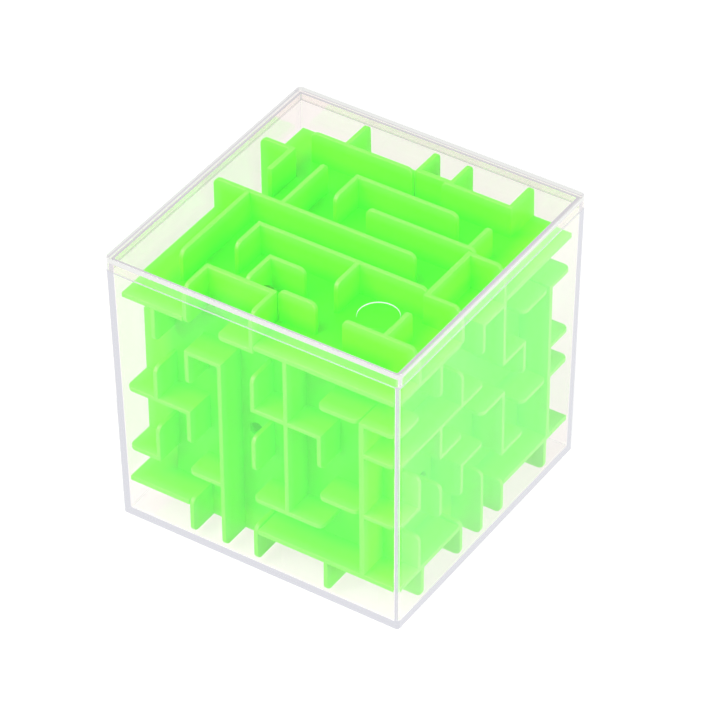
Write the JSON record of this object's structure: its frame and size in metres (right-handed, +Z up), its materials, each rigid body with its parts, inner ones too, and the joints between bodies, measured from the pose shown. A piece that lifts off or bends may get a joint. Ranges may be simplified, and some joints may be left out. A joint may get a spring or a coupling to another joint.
{
  "type": "tilt maze game",
  "caption": "Clear cube case with a lift-off lid round a hollow green maze core; a loose steel ball rolls in the channels between the two.",
  "frame": {"origin": "middle of the underside of the case", "axes": "+Z up through the lid; the front of the cube is -Y and its right side is +X"},
  "size_m": [0.06, 0.06, 0.0577],
  "materials": {
    "case_clear": "clear polystyrene, gloss",
    "lid_clear": "clear polystyrene, gloss",
    "maze_green": "moulded lime green plastic, low gloss",
    "ball_steel": "polished steel"
  },
  "bodies": {
    "case": {"case_box": "case_clear"},
    "core": {"top_maze": "maze_green", "bottom_maze": "maze_green", "front_maze": "maze_green", "right_maze": "maze_green", "back_maze": "maze_green", "left_maze": "maze_green"},
    "ball": {"steel_ball": "ball_steel"},
    "lid": {"case_lid": "lid_clear"}
  },
  "joints": [
    {"name": "core_lift", "type": "slide", "parent": "case", "child": "core", "axis": [0, 0, 1], "range_m": [0, 0.06]},
    {"name": "lid_lift", "type": "slide", "parent": "core", "child": "lid", "axis": [0, 0, 1], "range_m": [0, 0.02]},
    {"name": "ball_roll", "type": "slide", "parent": "core", "child": "ball", "axis": [1, 0, 0], "range_m": [0, 0.0238]}
  ]
}
